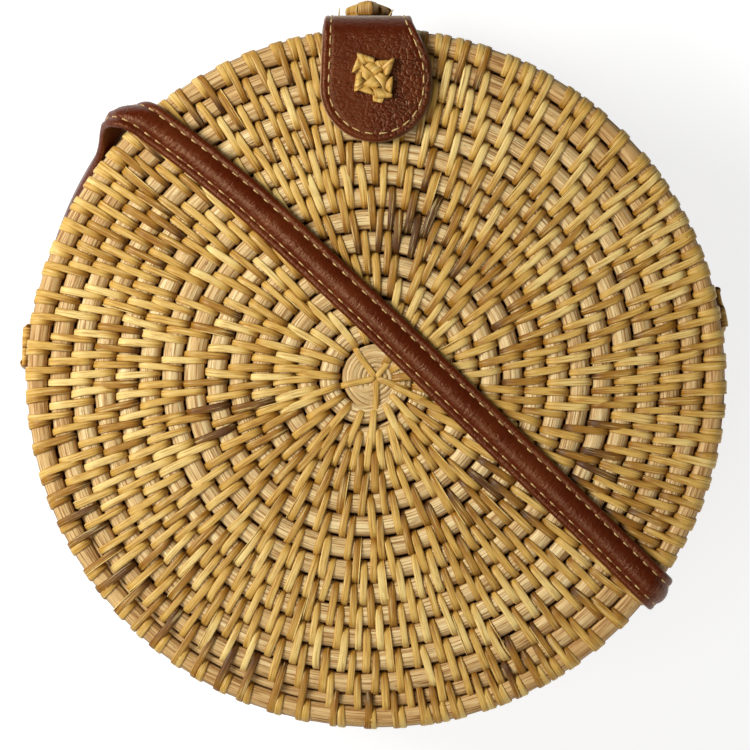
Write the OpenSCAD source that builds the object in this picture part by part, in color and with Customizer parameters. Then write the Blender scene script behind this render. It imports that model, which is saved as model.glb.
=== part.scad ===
// Round cane shoulder bag, lying on its back: two coiled shells lashed together at the foot,
// a leather tab over the top and a flat leather strap laid round the body.
// Millimetres, +Z up, the photographed face upwards, the foot of the bag towards -Y.

/* [Cane shells] */
// Thickness of the cane core
core_d = 5; // [4:0.1:6]
// Free gap between neighbouring rows of core
coil_gap = 1.4; // [1.2:0.1:1.8]
// Thickness of the split cane that binds the rows
bind_t = 0.9; // [0.6:0.1:1.1]
// Turns of the coil in each round face
face_turns = 14; // [12:1:16]
// Rows of core in each side wall
wall_rows = 4; // [3:1:6]
// Thickness of the cotton lining
lining_t = 0.8; // [0.5:0.1:1.2]

/* [Foot lashings] */
// Distance of each lashing's near end from the middle of the foot
lash_x = 6; // [4:0.5:6.5]
// Turns of the lashing strand
lash_turns = 4; // [3:1:6]

/* [Leather strap] */
// Width of the strap
strap_w = 11; // [9:0.5:13]
// Thickness of the strap
strap_t = 2.8; // [2:0.1:3.5]
// Direction in which the strap lies across the face, in degrees
strap_angle = -43.4; // [-46:0.2:-40]
// How far the strap passes beside the centre of the face
strap_off = 11; // [9:0.5:13]

/* [Woven knots] */
// Width of a woven knot
knot_w = 12; // [10:0.5:14]
// Height of a woven knot
knot_t = 3.7; // [3:0.1:4.5]
// Direction of the left strap end, in degrees
left_angle = 175; // [170:1:180]
// Direction of the right strap end, in degrees
right_angle = 11.5; // [6:0.5:16]

/* [Leather tab] */
// Width of the tab at its round end
tab_w = 31.4; // [28:0.2:34]
// Width of the tab where it goes over the rim
tab_neck = 25.6; // [20:0.2:28]
// How far the tab leans sideways, from its round end to the fold
tab_lean = -2.4; // [-4:0.1:0]
// Thickness of the tab's outer leather
leather_t = 2.2; // [1.6:0.1:2.6]
// Thickness of the tab's backing
backing_t = 0.8; // [0.5:0.1:1.2]
// Length of the tab on the face, from the rim's core
tab_front = 29.5; // [27:0.5:36]
// Length of the tab below the mouth of the bag
tab_tail = 22; // [19:0.5:26]

/* [Magnet closure] */
// Diameter of the closure's two discs
snap_d = 15; // [12:0.5:17]
// Thickness of each closure disc
snap_t = 2; // [1.6:0.1:2.4]

/* [Hidden] */
$fn = 96;

// Clearances
fit = 0.2;
clear = 0.3;
rest_gap = 0.5;
reach = 400;
knot_gap = 0.05;

// Rows and shells
eye_r = 1.3;
mouth_gap = 0.1;
pitch = core_d + coil_gap;
arcs = 2 * face_turns;
first_r = core_d / 2 + eye_r;
face_r = first_r + (arcs - 1) * pitch / 2;
rim_r = face_r + pitch;
bend_in = core_d / 2 + bind_t + rest_gap;
z_back = strap_t + bend_in;
z_hoop = z_back + (wall_rows + 1) * pitch;
mouth_half = core_d / 2 + bind_t + mouth_gap;
z_mouth = z_hoop + mouth_half;
z_front = 2 * z_mouth - z_back;
joggle = 15;
full_turn = 360;
half_turn = 180;
quarter = 90;
tail_full = 60;
climb_thin = 0.12;
climb_in = 1.2;
front_joggle_at = quarter - joggle / 2;
back_joggle_at = 225;
star_w = 1.8;
star_gap = 0.02;
star_share = 1.63;
star_turn = 54;
star_step = 72;

// Linings
lining_out = rim_r - core_d / 2 - bind_t - fit;
lining_in = lining_out - lining_t;
lining_up = core_d / 2 + bind_t + fit;
lining_round = 6;
lining_short = 1.2;

// Strap and its lie
strap_out = bend_in + strap_t;
knot_row = z_back + 3 * pitch;
strap_cut = fit;
left_slope = 50;
left_steps = 9;
left_drop = 2;
left_r = 14;
left_end_r = 24;
left_line = (z_front - left_drop - knot_row - (left_r - left_end_r) * sin(left_slope) - left_end_r)
  / cos(left_slope);
left_start = [left_r - strap_off, z_front - left_drop];
left_stop = left_start + (left_end_r - left_r) * [cos(left_slope), sin(left_slope)]
  + left_line * [sin(left_slope), -cos(left_slope)];
left_far = (rim_r + bend_in + strap_t / 2) * sin(left_angle - half_turn - strap_angle);
end_spare = 2;
end_over = knot_w / 2 + end_spare;
fold_share = 1.27;
run_four_share = 0.466;
turn_a_share = -0.51;
turn_b_share = 0.466;
turn_c_share = -0.33;
fold = fold_share * strap_w;
run_two = strap_off - 2 * fold;
run_three = run_two - 2 * fold;
run_four = run_four_share * rim_r;
turn_a = turn_a_share * rim_r;
turn_b = turn_b_share * rim_r;
turn_c = turn_c_share * rim_r;
wide_r = (run_four - run_three) / 2;
exit_turn = right_angle - strap_angle;
exit_r = 30;
exit_s = run_four / tan(exit_turn);
exit_back = exit_r * tan(exit_turn / 2);
exit_out = norm([exit_s, run_four]) + exit_back;

// Knots and their ties
tie_w = 4;
tie_t = coil_gap - 2 * clear;
tie_in = core_d / 2 + fit;
tie_back = 0.6;
bar_share = 0.36;
layer_share = 0.42;
place_share = 0.62;
end_share = 0.85;
knot_bar = bar_share * knot_w;
knot_layer = layer_share * knot_t;
knot_place = place_share * knot_bar;

// Tab
tab_t = leather_t + backing_t;
tab_out = bend_in + tab_t;
tab_knot_y = rim_r - 2 * pitch;
snap_row = z_back + wall_rows * pitch;
bound_r = rim_r + core_d / 2 + bind_t;
snap_gap = 0.4;
tilt = atan((bound_r + 2 * snap_t + snap_gap - rim_r - bend_in) / (z_front - snap_row));
snap_drop = (z_front - snap_row) / cos(tilt);
tail_len = z_front - z_mouth + tab_tail;
prong_w = 6;
prong_in = 1.6;
washer_t = 1;
washer_d = 12;
washer_edge = washer_d / 2 - tab_lean;
washer_out = sqrt(lining_in * lining_in - washer_edge * washer_edge) - clear;

// Lashings
lash_d = coil_gap - 2 * clear;
lash_pitch = 3 * lash_d;
lash_far = lash_x + lash_pitch * lash_turns;
lash_dip = rim_r - sqrt(rim_r * rim_r - lash_far * lash_far);
lash_r = norm([mouth_half, lash_dip]) + core_d / 2 + knot_gap + fit / 2 + lash_d / 2;
lash_rings = 24;
lash_sides = 6;
lash_room = 1.2;

// Middle of the whole bag from foot to tab, where the origin is
tail_reach = rim_r + tab_out + (knot_gap + knot_t) * cos(tilt)
  + (snap_drop + knot_w / 2) * sin(tilt);
foot_reach = rim_r + lash_r + lash_d / 2;
middle_y = (tail_reach - foot_reach) / 2;

cane = [0.80, 0.63, 0.41];
binding = [0.79, 0.58, 0.30];
leather = [0.38, 0.13, 0.08];
cotton = [0.26, 0.17, 0.12];
metal = [0.72, 0.62, 0.40];

// Middle line of one arc of the face coil, for the measured gap
function arc_point(i, a) =
  [(i % 2 == 0 ? -pitch / 2 : 0) + (first_r + i * pitch / 2) * cos(a + half_turn * (i % 2)),
   (first_r + i * pitch / 2) * sin(a + half_turn * (i % 2))];
coil_least = min([for (i = [0:arcs - 3], a = [0:15:half_turn], b = [-15:5:15])
  norm(arc_point(i, a) - arc_point(i + 2, min(half_turn, max(0, a + b))))]) - core_d;
echo(face_coil_least_gap = coil_least);
function lash_point(turn) =
  [lash_pitch * turn, lash_r * cos(full_turn * turn), lash_r * sin(full_turn * turn)];
lash_least = min([for (i = [0:lash_rings * (lash_turns - 1)], j = [-3:3])
  norm(lash_point(i / lash_rings) - lash_point((i + lash_rings + j) / lash_rings))]) - lash_d;
echo(lashing_least_gap = lash_least);
under_length = rim_r - turn_a + PI * fold + (turn_b - turn_a) + PI * fold + (turn_b - turn_c)
  + PI * wide_r + (exit_s - exit_back - turn_c) + PI * exit_r * exit_turn / half_turn
  + rim_r - exit_out;
bend_length = PI / 2 * (bend_in + strap_t / 2);
left_length = PI * (left_r * left_slope + left_end_r * (quarter - left_slope)) / half_turn
  + left_drop + left_line + left_far - left_stop[0];
strap_length = 2 * rim_r + 4 * bend_length + left_length + (z_front - z_back) + under_length
  + (knot_row - z_back) + 2 * end_over;
echo(strap_length = strap_length);

// One round face of a shell: a coil of half circles, whose end lies along the rim row
module face_coil() {
  mirror([0, 1, 0]) {
    for (i = [0:arcs - 1])
      translate([i % 2 == 0 ? -pitch / 2 : 0, 0, 0])
        rotate([0, 0, half_turn * (i % 2)])
          rotate_extrude(angle = half_turn)
            translate([first_r + i * pitch / 2, 0])
              circle(d = core_d);
    translate([-pitch / 4, 0, 0])
      rotate_extrude(angle = tail_full)
        translate([face_r + pitch / 4, 0])
          circle(d = core_d);
  }
}

// Side wall of a shell, from the rim row at height zero down to the last row
module wall_coil(start) {
  chord = 2 * rim_r * sin(joggle / 2);
  slope = atan2(chord, -pitch);
  rotate([0, 0, start + joggle])
    for (k = [0:wall_rows])
      translate([0, 0, -k * pitch]) {
        rotate_extrude(angle = full_turn - joggle)
          translate([rim_r, 0])
            circle(d = core_d);
        if (k < wall_rows)
          rotate([0, 0, -joggle])
            translate([rim_r, 0, 0])
              rotate([0, 0, quarter + joggle / 2])
                rotate([0, slope, 0])
                  translate([0, 0, -climb_in])
                    cylinder(h = norm([chord, pitch]) + 2 * climb_in, d = core_d - climb_thin);
      }
}

module mouth_hoop() {
  rotate_extrude()
    translate([rim_r, 0])
      circle(d = core_d);
}

// Five strips of split cane that close the middle of a face
module centre_star() {
  for (a = [0:4])
    rotate([0, 0, a * star_step + star_turn])
      translate([-star_w / 2, -star_w / 2, core_d / 2 + star_gap])
        cube([star_share * pitch, star_w, bind_t]);
}

// Cotton pan inside a shell, open towards the mouth
module lining_pan() {
  depth = (z_mouth - z_back) - lining_up - lining_short;
  difference() {
    rotate_extrude()
      difference() {
        union() {
          translate([0, -depth])
            square([lining_out - lining_round, depth]);
          translate([0, -depth])
            square([lining_out, depth - lining_round]);
          translate([lining_out - lining_round, -lining_round])
            circle(r = lining_round);
        }
        translate([0, -depth - reach])
          square([lining_in, depth - lining_round + reach]);
        translate([0, -depth])
          square([lining_out - lining_round, depth - lining_t]);
        translate([lining_out - lining_round, -lining_round])
          circle(r = lining_round - lining_t);
      }
    for (side = [-1, 1])
      translate([side * (lash_x + lash_pitch * lash_turns / 2) - lash_pitch * lash_turns / 2
        - lash_room - lash_d, -rim_r, -reach - depth + lash_r + lash_d + lash_room
        - lining_short])
        cube([lash_pitch * lash_turns + 2 * lash_room + 2 * lash_d, core_d * 2, reach]);
  }
}

// One unbroken strand wound round both mouth hoops at the foot
module lashing(side) {
  steps = lash_rings * lash_turns;
  ring = [for (i = [0:steps]) let (a = full_turn * i / lash_rings + half_turn)
    [for (s = [0:lash_sides - 1]) let (b = full_turn * s / lash_sides)
      [lash_pitch * (i / lash_rings - lash_turns / 2) + lash_d / 2 * sin(b),
       (lash_r + lash_d / 2 * cos(b)) * cos(a),
       (lash_r + lash_d / 2 * cos(b)) * sin(a)]]];
  points = [for (r = ring) for (p = r) p];
  skin = [for (i = [0:steps - 1], s = [0:lash_sides - 1])
    let (n = (s + 1) % lash_sides, k = i * lash_sides)
      each [[k + s, k + n, k + lash_sides + s],
        [k + n, k + lash_sides + n, k + lash_sides + s]]];
  low = [for (s = [1:lash_sides - 2]) [0, s + 1, s]];
  high = [for (s = [1:lash_sides - 2]) let (k = steps * lash_sides) [k, k + s, k + s + 1]];
  translate([side * (lash_x + lash_pitch * lash_turns / 2), -rim_r, z_mouth])
    polyhedron(points = points, faces = concat(skin, low, high), convexity = 8);
}

// A sheet bent over a shell's edge: face plate, quarter bend and wall, the rim row at zero
module round_edge(r, low) {
  intersection() {
    union() {
      translate([0, -low])
        square([rim_r, low + r]);
      translate([rim_r, 0])
        circle(r = r);
      if (low > 0)
        translate([0, -low])
          square([rim_r + r, low]);
    }
    translate([0, -low])
      square([rim_r + r, low + r]);
  }
}

module shell_skin(lift, thick, drop) {
  rotate_extrude()
    difference() {
      round_edge(lift + thick, drop);
      round_edge(lift, drop + core_d);
    }
}

// Upright slab over the strap's straight lie, from a distance along it to another
module strip(from, to, low, high) {
  rotate([0, 0, strap_angle])
    translate([from, strap_off - strap_w / 2, low])
      cube([to - from, strap_w, high - low]);
}

// One edge of the strap's way down the wall, seen from outside: across it and height
function left_edge(off) = concat(
  [[-strap_off - off, z_front + strap_out]],
  [for (i = [0:left_steps]) let (a = half_turn + left_slope * i / left_steps)
    left_start + (left_r + off) * [cos(a), sin(a)]],
  [for (i = [0:left_steps])
    let (a = half_turn + left_slope + (quarter - left_slope) * i / left_steps)
    left_stop + (left_end_r + off) * [cos(a), sin(a)]],
  [[left_far + end_over, knot_row - off]]);

// Slab that carries the strap round the wall to its left end
module left_ribbon() {
  inner = left_edge(-strap_w / 2);
  rotate([0, 0, half_turn + strap_angle])
    rotate([quarter, 0, quarter])
      linear_extrude(height = reach)
        polygon(concat(left_edge(strap_w / 2), [for (i = [len(inner) - 1:-1:0]) inner[i]]));
}

module tie_slots(a) {
  rotate([0, 0, a])
    for (side = [-1, 1])
      translate([rim_r, -tie_w / 2 - fit, knot_row + side * pitch / 2 - tie_t / 2 - fit])
        cube([strap_out * 2, tie_w + 2 * fit, tie_t + 2 * fit]);
}

module front_strap() {
  intersection() {
    translate([0, 0, z_front])
      shell_skin(bend_in, strap_t, z_front - z_mouth - strap_cut);
    union() {
      strip(-reach, reach, z_front, z_front + reach);
      strip(0, reach, z_mouth, z_front + reach);
      left_ribbon();
    }
  }
}

module back_skin() {
  translate([0, 0, z_back])
    mirror([0, 0, 1])
      shell_skin(bend_in, strap_t, z_mouth - z_back - strap_cut);
}

module left_end() {
  difference() {
    intersection() {
      back_skin();
      left_ribbon();
    }
    tie_slots(left_angle);
  }
}

module right_drop() {
  intersection() {
    back_skin();
    strip(rim_r, reach, -reach, reach);
  }
}

module flat_turn(at, r, from, sweep) {
  translate([at[0], at[1], 0])
    rotate([0, 0, from])
      rotate_extrude(angle = sweep)
        translate([r - strap_w / 2, 0])
          square([strap_w, strap_t]);
}

module flat_run(from, to, off) {
  translate([from, off - strap_w / 2, 0])
    cube([to - from, strap_w, strap_t]);
}

// The slack of the strap, folded flat in one layer under the back
module under_run() {
  rotate([0, 0, strap_angle]) {
    flat_run(turn_a, rim_r, strap_off);
    flat_turn([turn_a, strap_off - fold], fold, quarter, half_turn);
    flat_run(turn_a, turn_b, run_two);
    flat_turn([turn_b, run_two - fold], fold, -quarter, half_turn);
    flat_run(turn_c, turn_b, run_three);
    flat_turn([turn_c, run_three + wide_r], wide_r, quarter, half_turn);
    flat_run(turn_c, exit_s - exit_back, run_four);
    flat_turn([exit_s - exit_back, run_four + exit_r], exit_r, -quarter, exit_turn);
    rotate([0, 0, exit_turn])
      flat_run(exit_out, rim_r, 0);
  }
}

module right_end() {
  difference() {
    intersection() {
      back_skin();
      rotate([0, 0, right_angle])
        translate([rim_r, -strap_w / 2, 0])
          cube([strap_out * 2, strap_w, knot_row + end_over]);
    }
    tie_slots(right_angle);
  }
}

// Woven knot of flat cane strips; seat is the height of its base above the row it ties
module woven_knot(seat) {
  layer = knot_layer;
  at = knot_place;
  for (side = [-1, 1]) {
    translate([-knot_w / 2, side * at - knot_bar / 2, 0])
      cube([knot_w, knot_bar, layer + fit]);
    translate([side * at - knot_bar / 2, -knot_w / 2, layer])
      cube([knot_bar, knot_w, layer]);
    translate([side * at - knot_bar / 2, side * at - knot_bar / 2, 2 * layer - fit])
      cube([knot_bar, knot_bar, knot_t - 2 * layer + fit]);
  }
  translate([-tie_w / 2, -end_share * knot_w, 0])
    cube([tie_w, knot_w / 2, layer]);
  if (seat > 0)
    difference() {
      translate([-tie_w / 2, -pitch / 2 - tie_t / 2, -seat - tie_in - tie_back])
        cube([tie_w, pitch + tie_t, seat + tie_in + tie_back + layer]);
      translate([-tie_w, -pitch / 2 + tie_t / 2, -seat - tie_in])
        cube([tie_w * 2, pitch - tie_t, seat + tie_in]);
    }
}

module wall_knot(a) {
  rotate([0, 0, a])
    translate([rim_r + strap_out + knot_gap, 0, knot_row])
      rotate([quarter, 0, quarter])
        woven_knot(strap_out + knot_gap);
}

// Outline of the tab on the face, seen from above
module tab_outline() {
  mid = rim_r - tab_front + tab_w / 2;
  polygon(concat(
    [for (a = [half_turn:5:full_turn]) [tab_w / 2 * cos(a), mid + tab_w / 2 * sin(a)]],
    [for (p = [[1, core_d / 2], [1, tab_out * 2], [-1, tab_out * 2], [-1, core_d / 2]])
      [tab_lean + p[0] * tab_neck / 2, rim_r + p[1]]]));
}

module tab_sheet(lift, thick) {
  difference() {
    intersection() {
      translate([0, 0, z_front])
        shell_skin(lift, thick, 0);
      translate([0, 0, z_front])
        linear_extrude(height = reach)
          tab_outline();
    }
    for (side = [-1, 1])
      translate([-tie_w / 2 - fit, tab_knot_y + side * pitch / 2 - tie_t / 2 - fit, z_front])
        cube([tie_w + 2 * fit, tie_t + 2 * fit, reach]);
  }
}

module face_knot() {
  translate([0, tab_knot_y, z_front + tab_out])
    woven_knot(tab_out);
}

// Frame of the tab's free end: its outer face in the plane of zero, the fold at the top
module tail_frame() {
  translate([tab_lean, rim_r + tab_out, z_front - clear])
    rotate([tilt, 0, 0])
      children();
}

module tail_sheet(from, thick) {
  tail_frame()
    rotate([quarter, 0, 0])
      translate([0, 0, from])
        linear_extrude(height = thick) {
          translate([-tab_neck / 2, tab_neck / 2 - tail_len])
            square([tab_neck, tail_len - tab_neck / 2]);
          translate([0, tab_neck / 2 - tail_len])
            circle(d = tab_neck);
        }
}

module tail_disc(from, thick, wide) {
  tail_frame()
    translate([0, -from - thick, -snap_drop])
      rotate([-quarter, 0, 0])
        cylinder(h = thick, d = wide);
}

// Moves a piece from its place round the faces' middle to the middle of the whole bag
module centred() {
  translate([0, -middle_y, 0])
    children();
}

module front_disc_coil() color(cane) centred() translate([0, 0, z_front]) face_coil();
module front_wall_coil() color(cane) centred() translate([0, 0, z_front]) wall_coil(front_joggle_at);
module front_mouth_hoop() color(cane) centred() translate([0, 0, z_mouth + mouth_half]) mouth_hoop();
module front_centre_star() color(binding) centred() translate([0, 0, z_front]) centre_star();
module front_lining() color(cotton) centred() translate([0, 0, z_front - lining_up]) lining_pan();
module back_disc_coil() color(cane) centred() translate([0, 0, z_back]) mirror([0, 0, 1]) face_coil();
module back_wall_coil() color(cane) centred() translate([0, 0, z_back]) mirror([0, 0, 1])
  wall_coil(back_joggle_at);
module back_mouth_hoop() color(cane) centred() translate([0, 0, z_hoop]) mouth_hoop();
module back_centre_star() color(binding) centred() translate([0, 0, z_back]) mirror([0, 0, 1])
  centre_star();
module back_lining() color(cotton) centred() {
  difference() {
    translate([0, 0, z_back + lining_up])
      mirror([0, 0, 1])
        lining_pan();
    translate([tab_lean - prong_w / 2 - fit, 0, snap_row - pitch / 2 - tie_t / 2 - fit])
      cube([prong_w + 2 * fit, reach, pitch + tie_t + 2 * fit]);
  }
}
module lashing_left() color(binding) centred() lashing(-1);
module lashing_right() color(binding) centred() lashing(1);
module strap_front_run() color(leather) centred() front_strap();
module strap_left_end() color(leather) centred() left_end();
module strap_right_drop() color(leather) centred() right_drop();
module strap_under_run() color(leather) centred() under_run();
module strap_right_end() color(leather) centred() right_end();
module strap_knot_left() color(binding) centred() wall_knot(left_angle);
module strap_knot_right() color(binding) centred() wall_knot(right_angle);
module tab_leather() color(leather) centred() tab_sheet(bend_in + backing_t, leather_t);
module tab_backing() color(leather) centred() tab_sheet(bend_in, backing_t);
module tab_knot() color(binding) centred() face_knot();
module tail_leather() color(leather) centred() tail_sheet(0, leather_t);
module tail_backing() color(leather) centred() tail_sheet(leather_t, backing_t);
module tail_knot() color(binding) centred() tail_frame() translate([0, knot_gap, -snap_drop])
  rotate([-quarter, 0, 0]) mirror([0, 1, 0]) woven_knot(0);
module snap_cap() color(metal) centred() tail_disc(tab_t, snap_t, snap_d);
module snap_base() color(metal) centred() {
  tail_disc(tab_t + snap_t + snap_gap, snap_t, snap_d);
  for (side = [-1, 1])
    translate([tab_lean - prong_w / 2, washer_out - washer_t - prong_in,
      snap_row + side * pitch / 2 - tie_t / 2])
      cube([prong_w, bound_r + snap_t / 2 - washer_out + washer_t + prong_in, tie_t]);
}
module snap_washer() color(metal) centred() {
  difference() {
    translate([tab_lean, washer_out - washer_t, snap_row])
      rotate([-quarter, 0, 0])
        cylinder(h = washer_t, d = washer_d);
    for (side = [-1, 1])
      translate([tab_lean - prong_w / 2 - fit / 2, washer_out - 2 * washer_t,
        snap_row + side * pitch / 2 - tie_t / 2 - fit / 2])
        cube([prong_w + fit, 3 * washer_t, tie_t + fit]);
  }
}

front_disc_coil();
front_wall_coil();
front_mouth_hoop();
front_centre_star();
front_lining();
back_disc_coil();
back_wall_coil();
back_mouth_hoop();
back_centre_star();
back_lining();
lashing_left();
lashing_right();
strap_front_run();
strap_left_end();
strap_right_drop();
strap_under_run();
strap_right_end();
strap_knot_left();
strap_knot_right();
tab_leather();
tab_backing();
tab_knot();
tail_leather();
tail_backing();
tail_knot();
snap_cap();
snap_base();
snap_washer();
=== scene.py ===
import math
import random
import bpy
import numpy as np
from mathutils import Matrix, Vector


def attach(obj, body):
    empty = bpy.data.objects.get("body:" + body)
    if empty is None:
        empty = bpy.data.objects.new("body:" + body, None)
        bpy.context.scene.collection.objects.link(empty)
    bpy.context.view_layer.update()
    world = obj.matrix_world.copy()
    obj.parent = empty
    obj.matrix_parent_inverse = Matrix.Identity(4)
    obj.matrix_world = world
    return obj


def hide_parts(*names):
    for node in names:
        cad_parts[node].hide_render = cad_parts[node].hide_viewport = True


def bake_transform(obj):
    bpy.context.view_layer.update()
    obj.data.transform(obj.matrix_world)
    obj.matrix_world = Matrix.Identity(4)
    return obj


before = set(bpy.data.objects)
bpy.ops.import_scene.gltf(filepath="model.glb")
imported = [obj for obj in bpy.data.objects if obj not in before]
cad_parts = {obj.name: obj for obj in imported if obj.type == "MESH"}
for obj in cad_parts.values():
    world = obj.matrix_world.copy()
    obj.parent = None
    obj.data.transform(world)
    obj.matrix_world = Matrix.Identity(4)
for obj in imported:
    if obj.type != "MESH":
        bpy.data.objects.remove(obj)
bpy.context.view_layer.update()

# Core rows of both shells
# Peeled cane core, coiled in a spiral for each round face and in rings for the wall, and one
# thinner loose hoop at the mouth. Split cane binds the rows; nothing is glued. Sizes are in mm.
PITCH, CORE_R, HOOP_R, HOOP_OFF = 6.4, 2.95, 2.5, 3.5
FIRST_R, RIM_R = 3.8, 96.6
Z_MOUTH, Z_FRONT = 42.2, 77.7
ARCS, WALL_ROWS = 28, 4
# The face coil's last stretch thins to its cut end: degrees past the last arc, and the radius
COIL_END = ((60, 2.6), (90, 1.7), (120, 0.9), (152, 0.35))
# A wall row climbs to the next over CLIMB degrees, at another place on each shell
CLIMB, CLIMB_FRONT, CLIMB_BACK = 15, 82.5, 225
COIL_STEP, RING_STEP, COIL_SIDES, RING_SIDES = 2.0, 1.2, 16, 14
# The binding squares a core's section a little: this power of its cosine and sine
SQUARED = 0.86
# The origin is under the middle of the whole bag, this far towards the tab from the faces' middle
MIDDLE_Y = 3.9386
SHELLS = (("front", False), ("back", True))


class Value:
    """One shader value; sums and products of it become Math nodes."""
    def __init__(self, nodes, out):
        self.nodes, self.out = nodes, out

    def math(self, kind, *others):
        node = self.nodes.node("ShaderNodeMath", {"operation": kind},
                               dict(enumerate((self,) + others)))
        return Value(self.nodes, node.outputs[0])

    def __add__(self, b):
        return self.math("ADD", b)

    def __radd__(self, b):
        return self.math("ADD", b)

    def __sub__(self, b):
        return self.math("SUBTRACT", b)

    def __rsub__(self, b):
        return (self * -1) + b

    def __mul__(self, b):
        return self.math("MULTIPLY", b)

    def __rmul__(self, b):
        return self.math("MULTIPLY", b)

    def abs(self):
        return self.math("ABSOLUTE")

    def span(self, low, high, to_low=0.0, to_high=1.0):
        node = self.nodes.node("ShaderNodeMapRange", {"interpolation_type": "SMOOTHSTEP"},
                               {0: self, 1: low, 2: high, 3: to_low, 4: to_high})
        return Value(self.nodes, node.outputs[0])


class Nodes:
    """A node tree whose sockets take numbers, colours or Values."""
    def __init__(self, tree):
        self.tree = tree

    def put(self, socket, value):
        if isinstance(value, Value):
            self.tree.links.new(value.out, socket)
        elif hasattr(value, "__len__") and len(value) == 3 and len(socket.default_value) == 4:
            socket.default_value = (*value, 1)
        else:
            socket.default_value = value

    def node(self, kind, settings=None, inputs=None):
        node = self.tree.nodes.new(kind)
        for key, value in (settings or {}).items():
            setattr(node, key, value)
        for key, value in (inputs or {}).items():
            self.put(node.inputs[key], value)
        return node


class Material(Nodes):
    """A Principled material with a few ways of mixing and reading values."""
    def __init__(self, name, **constants):
        self.block = bpy.data.materials.new(name)
        self.block.use_nodes = True
        super().__init__(self.block.node_tree)
        self.shader = self.tree.nodes["Principled BSDF"]
        for socket, value in constants.items():
            self.put(self.shader.inputs[socket.replace("_", " ")], value)

    def read(self, name):
        node = self.node("ShaderNodeAttribute", {"attribute_name": name})
        return Value(self, node.outputs["Vector" if name == "grain" else "Fac"])

    def stretch(self, vector, x, y, z):
        return Value(self, self.node("ShaderNodeVectorMath", {"operation": "MULTIPLY"}, {
            0: vector, 1: (x, y, z)}).outputs[0])

    def noise(self, vector, scale, detail=3.0, rough=0.55):
        return Value(self, self.node("ShaderNodeTexNoise", {}, {
            "Vector": vector, "Scale": scale, "Detail": detail, "Roughness": rough}).outputs[0])

    def cells(self, vector, scale):
        return Value(self, self.node("ShaderNodeTexVoronoi", {"feature": "DISTANCE_TO_EDGE"}, {
            "Vector": vector, "Scale": scale}).outputs["Distance"])

    def mix(self, amount, a, b, blend="MIX"):
        node = self.node("ShaderNodeMix", {"data_type": "RGBA", "blend_type": blend},
                         {0: amount, 6: a, 7: b})
        return Value(self, node.outputs[2])

    def finish(self, colour, rough, height=None, depth=0.0003, strength=0.5):
        self.put(self.shader.inputs["Base Color"], colour)
        self.put(self.shader.inputs["Roughness"], rough)
        if height is not None:
            bump = self.node("ShaderNodeBump", {}, {
                "Height": height, "Distance": depth, "Strength": strength})
            self.put(self.shader.inputs["Normal"], Value(self, bump.outputs[0]))
        return self.block


def rgb(r, g, b):
    """Screen colour, 0 to 255, as linear values."""
    return tuple((c / 255 / 12.92 if c <= 10 else ((c / 255 + 0.055) / 1.055) ** 2.4)
                 for c in (r, g, b))


class Pile:
    """Meshes in millimetres gathered into one object, with values stored on their points."""
    def __init__(self):
        self.points, self.faces, self.layers, self.count = [], [], {}, 0

    def add(self, points, faces, grain, **layers):
        points = np.asarray(points, float).reshape(-1, 3)
        self.points.append(points)
        self.faces.extend([int(k) + self.count for k in face] for face in faces)
        layers["grain"] = np.asarray(grain, float).reshape(-1, 3)
        for key, value in layers.items():
            if key != "grain":
                value = np.array(np.broadcast_to(value, len(points)), float)
            self.layers.setdefault(key, []).append(value)
        self.count += len(points)

    def make(self, name, material, body=None, mirror=False, replaces=()):
        points = np.concatenate(self.points)
        faces = self.faces
        if mirror:
            points = points * (1, 1, -1) + (0, 0, 2 * Z_MOUTH)
            faces = [face[::-1] for face in faces]
        points = points - (0, MIDDLE_Y, 0)
        mesh = bpy.data.meshes.new(name)
        mesh.from_pydata((points / 1000).tolist(), [], faces)
        for key, parts in self.layers.items():
            kind = "FLOAT_VECTOR" if key == "grain" else "FLOAT"
            layer = mesh.attributes.new(key, kind, "POINT")
            layer.data.foreach_set("vector" if key == "grain" else "value",
                                   np.concatenate(parts).ravel().astype(np.float32))
        mesh.polygons.foreach_set("use_smooth", [True] * len(mesh.polygons))
        mesh.materials.append(material)
        obj = bpy.data.objects.new(name, mesh)
        bpy.context.scene.collection.objects.link(obj)
        if replaces:
            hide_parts(*replaces)
        if body:
            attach(obj, body)
        return obj


def unit(a):
    """Directions of length one."""
    return a / np.maximum(np.linalg.norm(a, axis=-1, keepdims=True), 1e-9)


def skin(n, m, closed=False):
    """Quads over n rings of m points, with flat ends unless the rings close on themselves."""
    i, j = np.meshgrid(np.arange(n if closed else n - 1), np.arange(m), indexing="ij")
    a, b = (i * m + j), (i * m + (j + 1) % m)
    c, d = ((i + 1) % n * m + (j + 1) % m), ((i + 1) % n * m + j)
    faces = np.stack([a, b, c, d], -1).reshape(-1, 4).tolist()
    if not closed:
        faces.append(list(range(m))[::-1])
        faces.append([(n - 1) * m + j for j in range(m)])
    return faces


def travelled(path):
    """Distance gone at each point of a path."""
    return np.concatenate([[0], np.cumsum(np.linalg.norm(np.diff(path, axis=0), axis=1))])


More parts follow.
